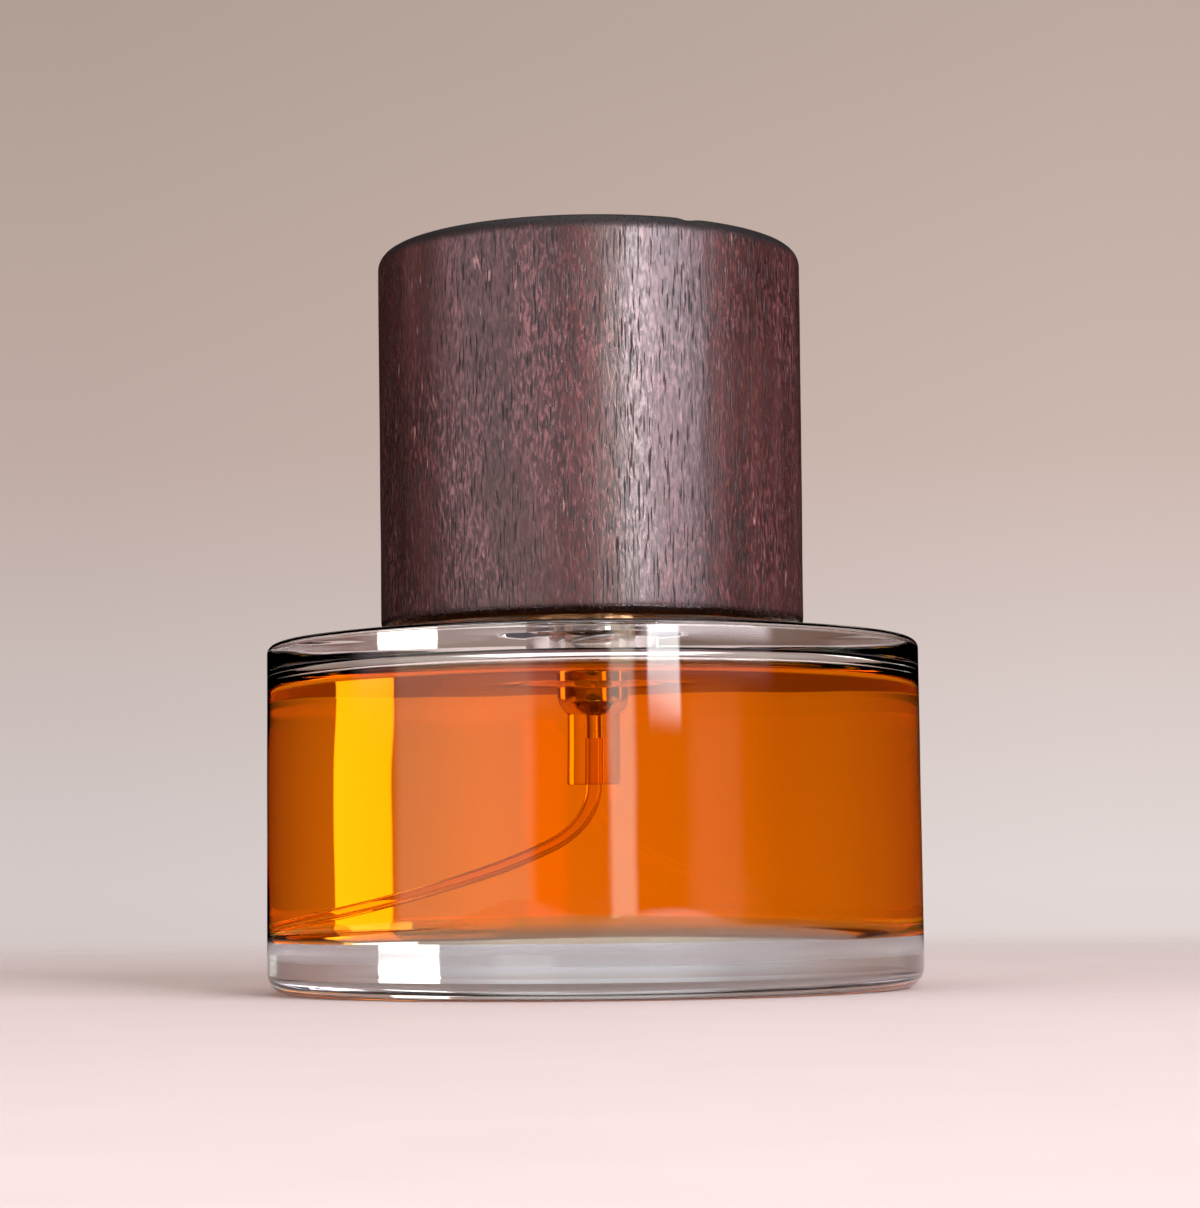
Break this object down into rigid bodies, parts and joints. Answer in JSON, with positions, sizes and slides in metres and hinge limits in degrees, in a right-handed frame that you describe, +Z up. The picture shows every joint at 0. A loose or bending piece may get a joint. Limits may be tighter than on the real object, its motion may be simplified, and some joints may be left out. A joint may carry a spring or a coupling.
{
  "type": "aftershave bottle",
  "caption": "Squat round glass spray bottle with amber liquid, a crimped pump with gold collar and button, and a tall dark wooden push-on cap.",
  "frame": {"origin": "centre of the face that the bottle stands on", "axes": "+Z up along the axis of the bottle, neck and cap; -Y is the front, where the spray nozzle points; the dip tube bends towards -X"},
  "size_m": [0.0734, 0.0734, 0.0836],
  "materials": {
    "clear_glass": "polished flint glass",
    "amber_liquid": "clear amber liquid",
    "tube_plastic": "clear extruded tube",
    "housing_plastic": "natural moulded plastic",
    "ball_steel": "polished",
    "cage_plastic": "natural moulded plastic",
    "spring_steel": "drawn wire",
    "piston_plastic": "soft moulded plastic",
    "stem_plastic": "moulded plastic",
    "gland_plastic": "moulded plastic",
    "seal_rubber": "moulded rubber",
    "gasket_rubber": "die-cut rubber",
    "ferrule_aluminium": "bare drawn sheet",
    "black_plastic": "moulded plastic",
    "gold_aluminium": "gold anodised, bright",
    "core_plastic": "moulded plastic",
    "nozzle_plastic": "moulded plastic",
    "dark_wood": "dark stained hardwood, satin lacquer",
    "liner_plastic": "moulded plastic",
    "weight_steel": "turned disc"
  },
  "bodies": {
    "bottle": {"glass_bottle": "clear_glass", "aftershave_fill": "amber_liquid", "dip_tube": "tube_plastic", "pump_housing": "housing_plastic", "ball_cage": "cage_plastic", "return_spring": "spring_steel", "stem_gland": "gland_plastic", "stem_seal": "seal_rubber", "neck_gasket": "gasket_rubber", "crimp_ferrule": "ferrule_aluminium", "collar_insert": "black_plastic", "collar_shell": "gold_aluminium"},
    "ball": {"check_ball": "ball_steel"},
    "stem": {"valve_stem": "stem_plastic"},
    "piston": {"piston": "piston_plastic"},
    "head": {"actuator_core": "core_plastic", "actuator_shell": "gold_aluminium", "nozzle_insert": "nozzle_plastic"},
    "cap": {"cap_wood": "dark_wood", "cap_liner": "liner_plastic", "cap_weight": "weight_steel"}
  },
  "joints": [
    {"name": "cap_lift", "type": "slide", "parent": "bottle", "child": "cap", "axis": [0, 0, 1], "range_m": [0, 0.035]},
    {"name": "pump_stroke", "type": "slide", "parent": "bottle", "child": "stem", "axis": [0, 0, -1], "range_m": [0, 0.0045], "stiffness_N_per_m": 1500, "springref_m": -0.003, "deforming": ["return_spring"]},
    {"name": "piston_slip", "type": "slide", "parent": "stem", "child": "piston", "axis": [0, 0, 1], "range_m": [0, 0.0004]},
    {"name": "head_turn", "type": "hinge", "parent": "stem", "child": "head", "pos_m": [0, 0, 0.0585], "axis": [0, 0, 1], "continuous": true},
    {"name": "ball_lift", "type": "slide", "parent": "bottle", "child": "ball", "axis": [0, 0, 1], "range_m": [0, 0.0008]}
  ]
}
